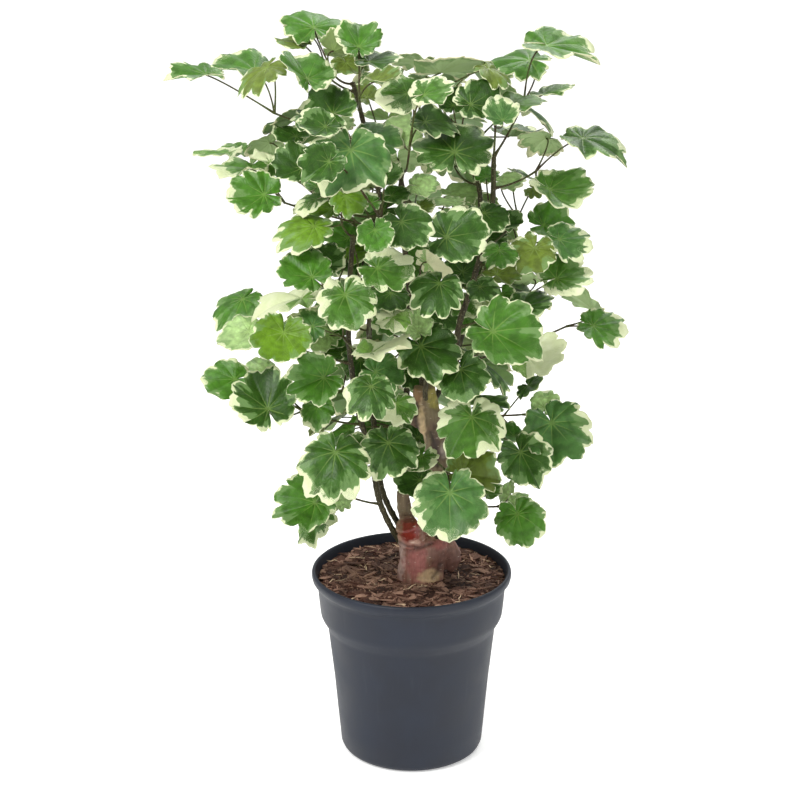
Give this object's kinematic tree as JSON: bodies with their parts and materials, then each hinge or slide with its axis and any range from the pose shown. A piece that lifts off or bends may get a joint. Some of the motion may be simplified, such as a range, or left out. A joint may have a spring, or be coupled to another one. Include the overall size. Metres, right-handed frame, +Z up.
{
  "type": "potted foliage plant",
  "caption": "Variegated shrub with round scalloped leaflets on upright stems, growing from a short red-brown stump in a tapered plastic nursery pot.",
  "frame": {"origin": "centre of the pot's underside, on the surface that it stands on", "axes": "+Z up along the pot's axis; -Y towards the viewer of the picture, +X to the viewer's right"},
  "size_m": [0.4528, 0.3636, 0.7717],
  "materials": {
    "pot_plastic": "moulded matte anthracite polypropylene",
    "potting_mix": "loose bark-based potting mix, damp and dark",
    "stump_bark": "reddish-brown bark with pale pores",
    "leaf_left_low": "waxy green leaf blades with cream margins on thin brown stems",
    "leaf_left_high": "waxy green leaf blades with cream margins on thin brown stems",
    "leaf_middle": "waxy green leaf blades with cream margins on thin brown stems",
    "leaf_right_front": "waxy green leaf blades with cream margins on thin brown stems",
    "leaf_right_back": "waxy green leaf blades with cream margins on thin brown stems",
    "leaf_crown": "waxy green leaf blades with cream margins on thin brown stems",
    "leaf_rear": "waxy green leaf blades with cream margins on thin brown stems",
    "leaf_sprout": "waxy green leaf blades with cream margins on thin brown stems"
  },
  "bodies": {
    "root": {"pot": "pot_plastic", "soil": "potting_mix", "stump": "stump_bark", "leafy_stem_left_low": "leaf_left_low", "leafy_stem_left_high": "leaf_left_high", "leafy_stem_middle": "leaf_middle", "leafy_stem_right_front": "leaf_right_front", "leafy_stem_right_back": "leaf_right_back", "leafy_stem_crown": "leaf_crown", "leafy_stem_rear": "leaf_rear", "leafy_stem_sprout": "leaf_sprout"}
  },
  "joints": []
}
